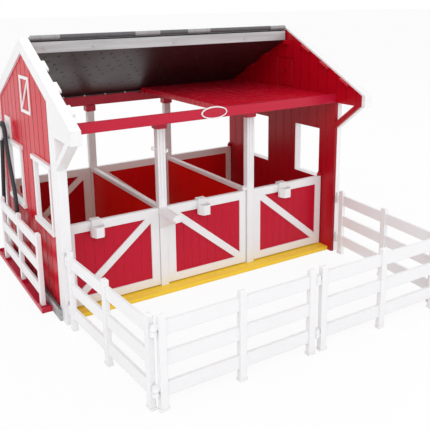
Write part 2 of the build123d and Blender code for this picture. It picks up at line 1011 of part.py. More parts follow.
def ridge_fascia():
    """Upright grey strip under the ridge that closes the tray's top edge."""
    edge = inner_x - roof_side_gap
    y, z = slope_frame()
    low = ridge_height - roof_depth / pitch_cos
    return block(-edge, edge, y - fascia_thickness, y, low, z - fascia_drop)


def fascia_screws():
    """Round screw heads along the fascia."""
    y, z = slope_frame()
    front = y - fascia_thickness
    height = z - fascia_drop - screw_height
    return [along_y(x, front - screw_head, front, height, screw_radius) for x in screw_places]


def front_roof():
    """Opening front roof, stored folded back on the rear slope."""
    edge = inner_x - roof_side_gap
    top = -axis_lift
    length = roof_length(front_tip)
    s_top = roof_edge_back
    rim_x = inner_x - tab_reach - front_rim_inset
    skin_low = top - roof_skin
    panel = folded_box(-edge, edge, s_top, length, skin_low, top)
    low = skin_low - front_rim_depth
    for x0, x1 in ((-rim_x, -rim_x + roof_rim), (rim_x - roof_rim, rim_x)):
        panel += folded_box(x0, x1, front_rim_start, length - roof_rim, low, skin_low + 0.5)
    eave = length - roof_rim
    panel += folded_box(-rim_x, rim_x, eave - roof_rim, eave, low, skin_low + 0.5)
    s = s_top + course_pitch
    while s < length - course_pitch / 2:
        panel -= folded_box(-edge, edge, s, s + groove_width, top - course_depth, top + 1)
        s += course_pitch
    y, z = slope_frame()
    for (_, left), (right, _) in zip(rear_knuckles[:-1], rear_knuckles[1:]):
        x0 = left + knuckle_gap
        x1 = right - knuckle_gap
        panel += folded_box(x0, x1, 0, s_top + 1, skin_low, top)
        panel += along_x(x0, x1, y, z, knuckle_radius)
    panel -= along_x(-edge, edge, y, z, rod_radius + running_gap)
    return panel


def ridge_rod():
    """Steel rod through the ridge knuckles."""
    edge = inner_x - roof_side_gap
    y, z = slope_frame()
    return along_x(-edge, edge, y, z, rod_radius)


def fence_panel(ends, length=fence_length):
    """Three-rail fence panel along +X from its first post; ends names each end's link."""
    panel = None
    for u in (0, length / 2, length):
        w = fence_post_width / 2
        d = fence_post_depth / 2
        stem = block(u - w, u + w, -d, d, 0, fence_height)
        stem = chamfer(stem.faces().sort_by(Axis.Z)[-1].edges(), fence_top_round)
        f = fence_foot_spread
        stem += block(u - w - f, u + w + f, -d - f / 2, d + f / 2, 0, fence_foot_height)
        panel = stem if panel is None else panel + stem
    for z in fence_rail_bottoms:
        half = fence_rail_depth / 2
        panel += block(0, length, -half, half, z, z + fence_rail_height)
    for kind, u, way in ((ends[0], 0, -1), (ends[1], length, 1)):
        if kind == "plain":
            continue
        ring_u = u + way * link_reach
        for z in link_bottoms:
            low = z if kind == "ring" else z + link_height + link_gap
            high = low + link_height
            link = upright(ring_u, 0, low, high, link_radius)
            link += block(u, ring_u, -link_arm / 2, link_arm / 2, low, high)
            if kind == "pin":
                link += upright(ring_u, 0, z + link_gap, low, link_pin_radius)
            if kind == "ring":
                link -= upright(ring_u, 0, low - 1, high + 1, link_pin_radius + running_gap)
            panel += link
    return panel


def placed(panel, pin, angle):
    """Panel turned about Z and set so that its first link is on the pin."""
    return Pos(pin[0], pin[1], 0) * Rot(0, 0, angle) * Pos(link_reach, 0, 0) * panel


def yard_layout():
    """Link places and side angles that close the yard fence."""
    reach = fence_length + 2 * link_reach
    rear_x = outer_x - link_from_outside
    pin_y = front_y - link_standoff
    sin_left = math.sin(math.radians(left_side_turn))
    sin_right = 2 * rear_x / reach - 2 - sin_left
    right_turn = math.degrees(math.asin(sin_right))
    left_corner = (
        -rear_x + reach * sin_left,
        pin_y - reach * math.cos(math.radians(left_side_turn)),
    )
    right_corner = (
        rear_x - reach * sin_right,
        pin_y - reach * math.cos(math.radians(right_turn)),
    )
    return {
        "left_pin": (-rear_x, pin_y),
        "right_pin": (rear_x, pin_y),
        "left_corner": left_corner,
        "right_corner": right_corner,
        "right_turn": right_turn,
    }


def footing():
    """Stone-pattern strip at the foot of the left wall."""
    return block(
        -outer_x, -outer_x - footing_thickness, front_y + footing_start, rear_y, 0, footing_height
    )


def tray_x():
    """Outer and inner sides of the wash tray."""
    inner = -outer_x - footing_thickness
    return inner - tray_width, inner


def wash_fence_x():
    """Centre plane of the wash fence."""
    return -outer_x - footing_thickness - wash_fence_offset


def wash_posts():
    """Y of the wash fence's three posts."""
    first = front_y + wash_fence_front
    return [first, first + fence_length / 2, first + fence_length]


def wash_tray():
    """Long red tray with a lip and post sockets, beside the left wall."""
    x0, x1 = tray_x()
    y0 = front_y + tray_front
    y1 = front_y + tray_rear
    tray = block(x0, x1, y0, y1, 0, tray_thickness)
    tray += block(x0, x0 + tray_lip, y0, y1, 0, tray_lip_height - 2)
    tray += block(x0, x1, y0, y0 + tray_lip, 0, tray_lip_height)
    tray += block(x0, x1, y1 - tray_lip, y1, 0, tray_lip_height)
    fx = wash_fence_x()
    w = fence_post_depth / 2 + fence_foot_spread / 2 + seat_gap
    d = fence_post_width / 2 + fence_foot_spread + seat_gap
    for y in wash_posts():
        tray += block(fx - w - 1.5, fx + w + 1.5, y - d - 1.5, y + d + 1.5, 0, tray_lip_height)
    for y in wash_posts():
        tray -= block(fx - w, fx + w, y - d, y + d, tray_thickness, tray_lip_height + 1)
    hx, hy = hose_x(), front_y + hose_route[-1][0]
    pad_top = hose_route[-1][1]
    tray += upright(hx, hy, 0, pad_top, hose_radius + 1.8) & block(x0, x1, y0, y1, 0, pad_top)
    return tray


def wash_fence():
    """Fence panel that stands in the wash tray."""
    first = wash_posts()[0]
    panel = fence_panel(("plain", "plain"))
    return Pos(wash_fence_x(), first, tray_thickness) * Rot(0, 0, 90) * panel


def hose_x():
    """Plane in which the hose hangs, beside the wall."""
    return -outer_x - footing_thickness - hose_clearance - hose_radius


def hose_points():
    """Hose centreline points from the nozzle to the tray."""
    pts = [(hose_x(), front_y + y, z) for y, z in hose_route]
    return pts


def hose_radii(points):
    """Bend radius for each inner point, from its two runs and its turn."""
    radii = []
    for a, b, c in zip(points[:-2], points[1:-1], points[2:]):
        va = Vector(*b) - Vector(*a)
        vb = Vector(*c) - Vector(*b)
        turn = math.radians(va.get_angle(vb))
        run = min(va.length, vb.length)
        radii.append(0.45 * run / math.tan(turn / 2))
    return radii


def hose():
    """Hanging hose as one tube along its route."""
    points = hose_points()
    radii = hose_radii(points)
    path = FilletPolyline(*points, radius=radii)
    start = path @ 0
    direction = path % 0
    profile = Plane(origin=start, z_dir=direction) * Circle(hose_radius)
    tube = sweep(profile, path=path)
    print("hose bend radii", [round(r, 1) for r in radii])
    print("hose length", round(path.length, 1), "volume ratio",
          round(tube.volume / (math.pi * hose_radius ** 2 * path.length), 4))
    return tube


def hose_nozzle():
    """Rounded end piece that hangs on the hose."""
    points = hose_points()
    a = Vector(*points[1])
    b = Vector(*points[0])
    direction = (b - a).normalized()
    plane = Plane(origin=b, z_dir=direction)
    body = extrude(plane * Circle(nozzle_radius), amount=nozzle_length)
    tip = body.faces().sort_by(Axis.Z)[0]
    return fillet(tip.edges(), nozzle_radius * 0.7)


def hose_holder():
    """Wall bracket with a grooved peg that carries the hose loop."""
    y = front_y + hose_peg_offset + 30.7
    z = hose_peg_height
    x_wall = -shell_x
    x_in = hose_x() + hose_radius + 0.6
    x_out = hose_x() - hose_radius - 0.3
    low = window_head_top + hose_plate_gap
    plate = block(x_wall, x_wall - 2.4, y - 14, y + 14, low, z + 26)
    peg = along_x(x_wall, x_out - hose_peg_flange, y, z, hose_peg_radius - hose_peg_play)
    inner = along_x(x_in, x_in + 1.2, y, z, hose_peg_radius + 3)
    outer = along_x(x_out, x_out - hose_peg_flange, y, z, hose_peg_radius + 3)
    return plate + peg + inner + outer


def save(name, shape):
    """Write one node."""
    solids = shape if isinstance(shape, list) else list(shape.solids())
    item = solids[0] if len(solids) == 1 else Compound(children=list(solids))
    export_step(item, os.path.join("parts", name + ".step"))


def main():
    """Build and save every piece."""
    save("floor_plate", floor_plate())
    for side, word in ((-1, "left"), (1, "right")):
        save(word + "_gable_liner", gable_liner(side))
        save(word + "_gable_shell", gable_shell(side))
        save(word + "_bargeboard", bargeboard(side))
        save(word + "_front_corner_post", corner_post(side, True))
        save(word + "_rear_corner_post", corner_post(side, False))
        frames = [window_frame(side, start) for start in (window_first, window_second)]
        save(word + "_window_frames", [s for f in frames for s in f.solids()])
    save("loft_hatches", [s for side in (-1, 1) for s in loft_hatch(side).solids()])
    save("front_beam", front_beam())
    save("rear_beam", rear_beam())
    save("roof_studs", roof_studs())
    save("sign_plate", sign_plate())
    front_top = header_bottom - front_cap_height + cap_pocket - seat_gap
    rear_top = rear_beam_bottom - rear_cap_height + cap_pocket - seat_gap
    front_posts = [post(x, front_post_y(), front_top) for x in post_centres]
    save("front_post_left", front_posts[0])
    right = front_posts[1]
    right += hinge_lug(
        hinge_x_of(1), door_front_y + door_thickness / 2, post_centres[1] - post_width / 2
    )
    save("front_post_right", right)
    rear_posts = [post(x, rear_post_y(), rear_top) for x in post_centres]
    rear_posts[1] += hinge_lug(
        hinge_x_of(1), rear_door_y + door_thickness / 2, post_centres[1] - post_width / 2
    )
    save("rear_post_left", rear_posts[0])
    save("rear_post_right", rear_posts[1])
    caps = [post_cap(x, front_post_y(), header_bottom, front_cap_height) for x in post_centres]
    caps += [post_cap(x, rear_post_y(), rear_beam_bottom, rear_cap_height) for x in post_centres]
    save("post_caps", [s for c in caps for s in c.solids()])
    save("divider_panels", [s for x in post_centres for s in divider_panel(x).solids()])
    save("divider_rails", [s for x in post_centres for s in divider_rail(x).solids()])
    save("saddle_rack", saddle_rack())
    hooks = [tack_hook(side, z) for side, z in zip((-1, 1), hook_heights)]
    save("tack_hooks", [s for h in hooks for s in h.solids()])
    for i, word in enumerate(("left", "middle", "right")):
        lean = 1 if i == 0 else -1
        save("front_door_frame_" + word, door_frame(i, door_front_y, lean))
        save("front_door_board_" + word, door_panel(i, door_front_y))
        save("rear_door_frame_" + word, door_frame(i, rear_door_y, lean))
        save("rear_door_board_" + word, door_panel(i, rear_door_y))
        save("bucket_" + word, bucket(i))
    middle = (loft_left + inner_x) / 2
    save("loft_panel_left", loft_panel(loft_left, middle - seat_gap / 2))
    save("loft_panel_right", loft_panel(middle + seat_gap / 2, inner_x))
    save("rear_roof", rear_roof())
    save("rear_roof_liner", rear_roof_liner())
    save("ridge_fascia", ridge_fascia())
    save("fascia_screws", fascia_screws())
    save("front_roof", front_roof())
    save("ridge_rod", ridge_rod())
    save("wall_footing", footing())
    save("wash_tray", wash_tray())
    save("wash_fence", wash_fence())
    save("hose_holder", hose_holder())
    save("hose", hose())
    save("hose_nozzle", hose_nozzle())
    yard = yard_layout()
    side_panel = fence_panel(("pin", "ring"))
    save("side_fence_left", placed(side_panel, yard["left_pin"], left_side_turn - 90))
    save("side_fence_right", placed(side_panel, yard["right_pin"], -90 - yard["right_turn"]))
    save("front_fence_left", placed(fence_panel(("pin", "open")), yard["left_corner"], 0))
    save("front_fence_right", placed(fence_panel(("pin", "ring")), yard["right_corner"], 180))


main()
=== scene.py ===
"""Looks of a toy horse stable with a fenced yard, dressed over its packed construction model."""

from __future__ import annotations

import json
import logging
import math
import random
from dataclasses import dataclass, field
from enum import Enum
from typing import Any, Sequence

import bmesh
import bpy
from mathutils import Matrix, Vector

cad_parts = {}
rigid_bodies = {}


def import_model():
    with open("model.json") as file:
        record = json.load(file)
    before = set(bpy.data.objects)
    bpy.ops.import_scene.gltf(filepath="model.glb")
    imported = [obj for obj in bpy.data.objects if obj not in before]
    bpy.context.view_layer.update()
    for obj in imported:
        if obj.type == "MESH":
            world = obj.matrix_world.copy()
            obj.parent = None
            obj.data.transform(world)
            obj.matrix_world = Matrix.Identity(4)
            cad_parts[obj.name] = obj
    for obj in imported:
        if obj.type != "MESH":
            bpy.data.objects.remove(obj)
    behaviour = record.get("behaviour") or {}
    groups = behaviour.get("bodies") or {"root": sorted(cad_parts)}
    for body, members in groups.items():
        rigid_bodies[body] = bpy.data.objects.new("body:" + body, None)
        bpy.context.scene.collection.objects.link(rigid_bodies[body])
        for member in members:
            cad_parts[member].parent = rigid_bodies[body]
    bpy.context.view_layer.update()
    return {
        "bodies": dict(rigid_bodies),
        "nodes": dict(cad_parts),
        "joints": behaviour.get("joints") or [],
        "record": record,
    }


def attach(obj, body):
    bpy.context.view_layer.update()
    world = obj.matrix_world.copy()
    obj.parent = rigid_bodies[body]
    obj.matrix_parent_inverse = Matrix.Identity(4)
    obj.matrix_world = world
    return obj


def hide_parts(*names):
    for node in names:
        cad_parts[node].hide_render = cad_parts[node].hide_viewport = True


LOG = logging.getLogger("stable")
Colour = tuple[float, float, float]
Point = tuple[float, float, float]
WHITE_LIGHT = (1.0, 1.0, 1.0, 1.0)
ROOF_SLOPE = 27.26
RIDGE_Y = -0.024


class Value:
    """One number socket of a shader, used in expressions like an ordinary number."""

    def __init__(self, graph: Graph, socket: bpy.types.NodeSocket) -> None:
        """Keep the graph that adds Math nodes and the socket that holds the number.

        Args:
            graph: The shader graph that the socket belongs to.
            socket: An output socket that gives one number.
        """
        self.graph = graph
        self.socket = socket

    def __add__(self, other: Value | float) -> Value:
        """Sum of two values."""
        return self.graph.math("ADD", self, other)

    def __radd__(self, other: float) -> Value:
        """Sum with a plain number on the left."""
        return self.graph.math("ADD", other, self)

    def __sub__(self, other: Value | float) -> Value:
        """Difference of two values."""
        return self.graph.math("SUBTRACT", self, other)

    def __rsub__(self, other: float) -> Value:
        """Plain number less this value."""
        return self.graph.math("SUBTRACT", other, self)

    def __mul__(self, other: Value | float) -> Value:
        """Product of two values."""
        return self.graph.math("MULTIPLY", self, other)

    def __rmul__(self, other: float) -> Value:
        """Product with a plain number on the left."""
        return self.graph.math("MULTIPLY", other, self)

    def __truediv__(self, other: Value | float) -> Value:
        """Quotient of two values."""
        return self.graph.math("DIVIDE", self, other)

    def __rtruediv__(self, other: float) -> Value:
        """Plain number over this value."""
        return self.graph.math("DIVIDE", other, self)

    def above(self, limit: float) -> Value:
        """One where the value is over a limit, otherwise zero."""
        return self.graph.math("GREATER_THAN", self, limit)

    def largest(self, other: Value | float) -> Value:
        """Larger of two values."""
        return self.graph.math("MAXIMUM", self, other)

    def repeated(self, pitch: float) -> Value:
        """Distance to the nearest multiple of a pitch."""
        return self.graph.math("PINGPONG", self, pitch / 2)

    def between(self, low: float, high: float) -> Value:
        """Smooth rise from zero at low to one at high.

        Args:
            low: Value at which the rise starts.
            high: Value at which it reaches one.

        Returns:
            The eased value, from zero to one.
        """
        node = self.graph.node(
            "ShaderNodeMapRange",
            {"interpolation_type": "SMOOTHSTEP"},
            {"Value": self, "From Min": low, "From Max": high, "To Min": 0.0, "To Max": 1.0},
        )
        return Value(self.graph, node.outputs["Result"])


class Graph:
    """Node tree of one material or of the world."""

    def __init__(self, tree: bpy.types.NodeTree) -> None:
        """Start from an empty tree.

        Args:
            tree: The tree to fill.
        """
        self.tree = tree
        self.tree.nodes.clear()

    def node(
        self,
        kind: str,
        settings: dict[str, Any] | None = None,
        inputs: dict[str | int, Any] | None = None,
    ) -> bpy.types.Node:
        """Add one node.

        Args:
            kind: Blender's name of the node type.
            settings: Attributes set before the sockets.
            inputs: Plain values, Value objects or sockets for its input sockets.

        Returns:
            The new node.
        """
        made = self.tree.nodes.new(kind)
        for key, value in (settings or {}).items():
            setattr(made, key, value)
        for key, value in (inputs or {}).items():
            if isinstance(value, Value):
                self.tree.links.new(value.socket, made.inputs[key])
            elif isinstance(value, bpy.types.NodeSocket):
                self.tree.links.new(value, made.inputs[key])
            else:
                made.inputs[key].default_value = value
        return made

    def math(self, operation: str, first: Value | float, second: Value | float) -> Value:
        """Add a Math node.

        Args:
            operation: Name of the operation.
            first: Left number.
            second: Right number.

        Returns:
            The result.
        """
        made = self.node("ShaderNodeMath", {"operation": operation}, {0: first, 1: second})
        return Value(self, made.outputs[0])

    def place(self) -> tuple[bpy.types.NodeSocket, Value, Value, Value]:
        """Place on the object in metres.

        Returns:
            The vector socket and its three parts.
        """
        where = self.node("ShaderNodeTexCoord").outputs["Object"]
        parts = self.node("ShaderNodeSeparateXYZ", None, {0: where})
        return where, *(Value(self, parts.outputs[i]) for i in range(3))

    def vector(self, x: Value | float, y: Value | float, z: Value | float) -> bpy.types.NodeSocket:
        """Vector from three numbers."""
        return self.node("ShaderNodeCombineXYZ", None, {0: x, 1: y, 2: z}).outputs[0]

    def noise(self, where: bpy.types.NodeSocket, scale: float, detail: float = 2.0) -> Value:
        """Soft noise.

        Args:
            where: Place on the surface.
            scale: Features per metre.
            detail: Number of finer layers.

        Returns:
            Noise from zero to one.
        """
        made = self.node(
            "ShaderNodeTexNoise",
            None,
            {"Vector": where, "Scale": scale, "Detail": detail, "Roughness": 0.55},
        )
        return Value(self, made.outputs[0])

    def bricks(
        self,
        across: Value,
        along: Value,
        size: tuple[float, float],
        joint: tuple[float, float],
        dark: Colour,
        gap: Colour,
    ) -> bpy.types.Node:
        """Brick pattern with staggered rows.

        Args:
            across: Place along a row, in metres.
            along: Place from row to row, in metres.
            size: Length and height of one brick.
            joint: Width and softness of the joints.
            dark: Shade of the darkest brick.
            gap: Shade of the joints.

        Returns:
            The brick node.
        """
        return self.node(
            "ShaderNodeTexBrick",
            {"offset": 0.5},
            {
                "Vector": self.vector(across, along, 0.0),
                "Scale": 1.0,
                "Mortar Size": joint[0],
                "Mortar Smooth": joint[1],
                "Brick Width": size[0],
                "Row Height": size[1],
                "Color1": WHITE_LIGHT,
                "Color2": (*dark, 1.0),
                "Mortar": (*gap, 1.0),
            },
        )

    def mix(
        self, share: Value | float, first: Any, second: Any, blend: str = "MIX"
    ) -> bpy.types.NodeSocket:
        """Blend two colours.

        Args:
            share: How much of the second colour.
            first: Colour or colour socket.
            second: Colour or colour socket.
            blend: Blend type.

        Returns:
            The colour socket.
        """
        a, b = (c if isinstance(c, bpy.types.NodeSocket) else (*c, 1.0) for c in (first, second))
        settings = {"data_type": "RGBA", "blend_type": blend}
        return self.node("ShaderNodeMix", settings, {0: share, 6: a, 7: b}).outputs[2]

    def soft_edge(self, radius: float) -> tuple[bpy.types.NodeSocket, Value]:
        """Normal with rounded edges, and a mask of those edges.

        Args:
            radius: Edge radius in metres.

        Returns:
            The rounded normal and a value that is one on an edge.
        """
        rounded = self.node("ShaderNodeBevel", {"samples": 4}, {"Radius": radius}).outputs[0]
        flat = self.node("ShaderNodeNewGeometry").outputs["Normal"]
        dot = self.node("ShaderNodeVectorMath", {"operation": "DOT_PRODUCT"}, {0: rounded, 1: flat})
        edge = 1.0 - Value(self, dot.outputs["Value"])
        return rounded, edge.between(0.01, 0.22)


@dataclass(frozen=True)
class Finish:
    """Moulded plastic: soft gloss, faint mottling, fine moulding texture and a painted highlight along
    its edges.
    """

    name: str
    colour: Colour
    roughness: float = 0.34
    coat: float = 0.15
    metallic: float = 0.0
    mottle: float = 0.06
    texture_depth: float = 0.00005
    edge_radius: float = 0.0007
    # How far the painted edge highlight lifts the colour towards white.
    edge_light: float = 0.05
    edge_share: float = 0.6
    gloss: float = 0.32
    gloss_spread: float = 0.1
    coat_roughness: float = 0.22
    grain_scale: float = 700.0
    mottle_scale: float = 11.0

    def relief(self, graph: Graph) -> Value:
        """Fine moulding texture as a height from zero to one."""
        return graph.noise(graph.place()[0], self.grain_scale, 3.0)

    def shade(self, graph: Graph) -> Value:
        """Share of the darker mottling colour."""
        return graph.noise(graph.place()[0], self.mottle_scale, 4.0).between(0.25, 0.8)

    def base(self, graph: Graph, shade: Value) -> bpy.types.NodeSocket:
        """Colour before the painted edge highlight.

        Args:
            graph: The material's graph.
            shade: Mottling share.

        Returns:
            A colour socket.
        """
        dark = tuple(c * (1.0 - self.mottle) for c in self.colour)
        return graph.mix(shade, self.colour, dark)

    def build(self) -> bpy.types.Material:
        """Make the material.

        Returns:
            The new material.
        """
        material = bpy.data.materials.new(self.name)
        material.use_nodes = True
        graph = Graph(material.node_tree)
        rounded, edge = graph.soft_edge(self.edge_radius)
        shade = self.shade(graph)
        # Painted highlight: edges found by the bevel mask are lightened towards white, standing in for
        # light caught on the edges.
        edge_highlight = tuple(c + (1.0 - c) * self.edge_light for c in self.colour)
        colour = graph.mix(edge * self.edge_share, self.base(graph, shade), edge_highlight)
        rough = shade * self.gloss_spread + (self.roughness - self.gloss_spread / 2)
        bump = graph.node(
            "ShaderNodeBump",
            None,
            {
                "Strength": 1.0,
                "Distance": self.texture_depth,
                "Height": self.relief(graph),
                "Normal": rounded,
            },
        )
        shader = graph.node(
            "ShaderNodeBsdfPrincipled",
            None,
            {
                "Base Color": colour,
                "Roughness": rough,
                "Metallic": self.metallic,
                "Specular IOR Level": self.gloss,
                "Coat Weight": self.coat,
                "Coat Roughness": self.coat_roughness,
                "Normal": bump.outputs[0],
            },
        )
        graph.node("ShaderNodeOutputMaterial", None, {"Surface": shader.outputs[0]})
        return material


@dataclass(frozen=True)
class BoardFinish(Finish):
    """Glossy boarded plastic with a faint grain and shaded joints between its boards."""

    seam_start: float = 0.0
    seam_pitch: float = 0.022
    seam_width: float = 0.0022
    # Share of painted shade in the grooves between boards; zero leaves the boards plain.
    groove_shade_share: float = 0.0
    seam_shade: float = 0.12
    wood_share: float = 0.75

    def relief(self, graph: Graph) -> Value:
        """Upright grain with the moulding texture."""
        where, x, y, z = graph.place()
        grain = graph.noise(graph.vector(x * 6.0, y * 6.0, z * 0.35), 60.0, 4.0)
        fine = graph.noise(where, self.grain_scale, 2.0)
        return grain * self.wood_share + fine * (1.0 - self.wood_share)

    def shade(self, graph: Graph) -> Value:
        """Streaks that differ from board to board."""
        _, x, y, z = graph.place()
        streak = graph.noise(graph.vector(x * 1.5, y * 5.0, z * 0.7), 7.0, 3.0)
        return streak.between(0.3, 0.75)

    def base(self, graph: Graph, shade: Value) -> bpy.types.NodeSocket:
        """Boards with painted shade in the grooves between them, across the depth of the barn."""
        plain = super().base(graph, shade)
        if not self.groove_shade_share:
            return plain
        _, _, y, _ = graph.place()
        away = (y - self.seam_start).repeated(self.seam_pitch)
        # Painted shade: the colour is darkened along each groove between boards, standing in for the
        # shade inside the grooves.
        groove_shade_mask = 1.0 - away.between(self.seam_width * 0.3, self.seam_width * 0.8)
        groove_shade_colour = tuple(c * self.seam_shade for c in self.colour)
        return graph.mix(groove_shade_mask * self.groove_shade_share, plain, groove_shade_colour)


@dataclass(frozen=True)
class ShingleFinish(Finish):
    """Roof plastic moulded as courses of shingles."""

    slope_deg: float = ROOF_SLOPE
    ridge_y: float = RIDGE_Y
    tab: tuple[float, float] = (0.021, 0.025)
    joint: tuple[float, float] = (0.0006, 0.3)
    dark: Colour = (0.72, 0.72, 0.72)
    gap: Colour = (0.25, 0.25, 0.25)
    joint_share: float = 0.7
    tone_share: float = 0.35

    def _courses(self, graph: Graph) -> bpy.types.Node:
        """Courses laid along the slope."""
        _, x, y, z = graph.place()
        a = math.radians(self.slope_deg)
        down = (y - self.ridge_y) * math.cos(a) - z * math.sin(a)
        return graph.bricks(x, down, self.tab, self.joint, self.dark, self.gap)

    def relief(self, graph: Graph) -> Value:
        """Shingle joints over a coarse grain."""
        where, _, _, _ = graph.place()
        joint = Value(graph, self._courses(graph).outputs["Fac"])
        grain = graph.noise(where, 320.0, 4.0)
        return (1.0 - joint) * self.joint_share + grain * (1.0 - self.joint_share)

    def base(self, graph: Graph, shade: Value) -> bpy.types.NodeSocket:
        """Shingles that differ slightly in grey."""
        plain = super().base(graph, shade)
        return graph.mix(self.tone_share, plain, self._courses(graph).outputs["Color"], "MULTIPLY")


@dataclass(frozen=True)
class StoneFinish(Finish):
    """Grey footing moulded as small stone blocks."""

    block: tuple[float, float] = (0.026, 0.0083)
    joint: tuple[float, float] = (0.0005, 0.4)
    dark: Colour = (0.55, 0.55, 0.56)
    gap: Colour = (0.2, 0.2, 0.2)
    joint_share: float = 0.75
    tone_share: float = 0.8

    def _blocks(self, graph: Graph) -> bpy.types.Node:
        """Blocks on the wall's outer side."""
        _, _, y, z = graph.place()
        return graph.bricks(y, z, self.block, self.joint, self.dark, self.gap)

    def relief(self, graph: Graph) -> Value:
        """Blocks with a pitted face."""
        where, _, _, _ = graph.place()
        joint = Value(graph, self._blocks(graph).outputs["Fac"])
        pits = graph.noise(where, 260.0, 4.0)
        return (1.0 - joint) * self.joint_share + pits * (1.0 - self.joint_share)

    def base(self, graph: Graph, shade: Value) -> bpy.types.NodeSocket:
        """Blocks in different greys."""
        plain = super().base(graph, shade)
        return graph.mix(self.tone_share, plain, self._blocks(graph).outputs["Color"], "MULTIPLY")


@dataclass(frozen=True)
class BrushedFinish(Finish):
    """Light grey strip with fine lines along its length."""

    def relief(self, graph: Graph) -> Value:
        """Lines along the strip."""
        _, x, y, z = graph.place()
        return graph.noise(graph.vector(x * 0.03, y, z), 900.0, 3.0)

    def shade(self, graph: Graph) -> Value:
        """Long light and dark streaks."""
        _, x, y, z = graph.place()
        return graph.noise(graph.vector(x * 0.12, y * 0.4, z * 2.2), 60.0, 3.0).between(0.3, 0.7)


@dataclass(frozen=True)
class SignFinish(Finish):
    """Red oval plate with a white raised rim."""

    centre_x: float = -0.0055
    centre_z: float = 0.263
    inner_half_width: float = 0.0196
    inner_half_height: float = 0.0071
    rim_colour: Colour = (0.87, 0.86, 0.87)

    def base(self, graph: Graph, shade: Value) -> bpy.types.NodeSocket:
        """Face colour inside the oval, rim colour outside it."""
        _, x, _, z = graph.place()
        across = (x - self.centre_x) / self.inner_half_width
        up = (z - self.centre_z) / self.inner_half_height
        rim = (across * across + up * up).above(1.0)
        return graph.mix(rim, super().base(graph, shade), self.rim_colour)


class Paint(Enum):
    """Finishes of the stable's pieces."""

    WHITE = Finish(
        "white_plastic", (0.87, 0.87, 0.88), 0.36, 0.1, mottle=0.02, edge_light=0.3, gloss=0.45
    )
    DOOR_RED = BoardFinish(
        "door_red_plastic", (0.54, 0.003, 0.026), 0.34, 0.03, texture_depth=0.00007, gloss=0.22
    )
    WALL_RED = BoardFinish(
        "wall_red_plastic",
        (0.66, 0.003, 0.02),
        0.24,
        0.02,
        gloss=0.14,
        seam_start=-0.1195,
        groove_shade_share=0.85,
    )
    # Painted shade: a darker copy of the wall red for the walls' inner faces and the left rear door
    # board, which sit in shade.
    SHADED_INNER_RED = BoardFinish(
        "inner_red_painted_shade",
        (0.46, 0.001, 0.010),
        0.34,
        0.02,
        gloss=0.25,
        seam_start=-0.1325,
        groove_shade_share=0.28,
    )
    SCARLET = BoardFinish("divider_red_plastic", (0.74, 0.005, 0.003), 0.42, 0.0, gloss=0.08)
    REAR_RED = BoardFinish("rear_door_red_plastic", (0.62, 0.004, 0.006), 0.4, 0.0, gloss=0.15)
    BEAM_RED = Finish("beam_red_plastic", (0.54, 0.006, 0.036), 0.34, 0.05)
    LOFT_RED = BoardFinish(
        "loft_red_plastic",
        (0.72, 0.004, 0.026),
        0.26,
        0.04,
        texture_depth=0.000012,
        gloss=0.35,
        seam_start=-0.1483,
        seam_pitch=0.015,
        seam_width=0.003,
        groove_shade_share=0.4,
    )
    FLOOR_YELLOW = Finish("floor_yellow_plastic", (0.98, 0.66, 0.04), 0.42, 0.05)
    ROOF_DARK = ShingleFinish(
        "front_roof_grey_plastic", (0.13, 0.13, 0.14), 0.5, 0.05, texture_depth=0.0003
    )
    ROOF_LIGHT = ShingleFinish(
        "rear_roof_grey_plastic", (0.36, 0.36, 0.37), 0.46, 0.05, texture_depth=0.0003
    )
    # Painted shade: the grey roof's underside and its marks are coloured near-black with a red tint, the
    # shade and red bounce light under the roof.
    ROOF_UNDERSIDE_SHADE = Finish("roof_underside_painted_shade", (0.04, 0.026, 0.03), 0.4, 0.08, mottle=0.3)
    FASCIA_GREY = BrushedFinish(
        "ridge_grey_plastic", (0.56, 0.57, 0.58), 0.36, 0.1, mottle=0.24, gloss=0.5
    )
    STONE = StoneFinish("stone_grey_plastic", (0.46, 0.46, 0.47), 0.6, 0.0, texture_depth=0.0003)
    STEEL = BrushedFinish("steel_rod", (0.6, 0.6, 0.62), 0.3, 0.0, metallic=1.0, mottle=0.1)
    HOSE = Finish("hose_rubber", (0.035, 0.036, 0.042), 0.5, 0.0, mottle=0.3)
    NOZZLE = Finish("nozzle_black_plastic", (0.015, 0.015, 0.018), 0.35, 0.2, edge_light=0.1)
    SIGN = SignFinish("sign_red_plastic", (0.52, 0.008, 0.036), 0.33, 0.1)


class PaintShop:
    """Makes each finish once and puts it on pieces."""

    def __init__(self) -> None:
        """Start with no materials made."""
        self._made: dict[Paint, bpy.types.Material] = {}

    def material(self, paint: Paint) -> bpy.types.Material:
        """Material of a finish, made at its first use."""
        if paint not in self._made:
            self._made[paint] = paint.value.build()
        return self._made[paint]

    def dress(self, piece: bpy.types.Object, paint: Paint) -> None:
        """Give a piece one finish all over.

        Args:
            piece: Mesh or curve object.
            paint: Finish to use.
        """
        piece.data.materials.clear()
        piece.data.materials.append(self.material(paint))


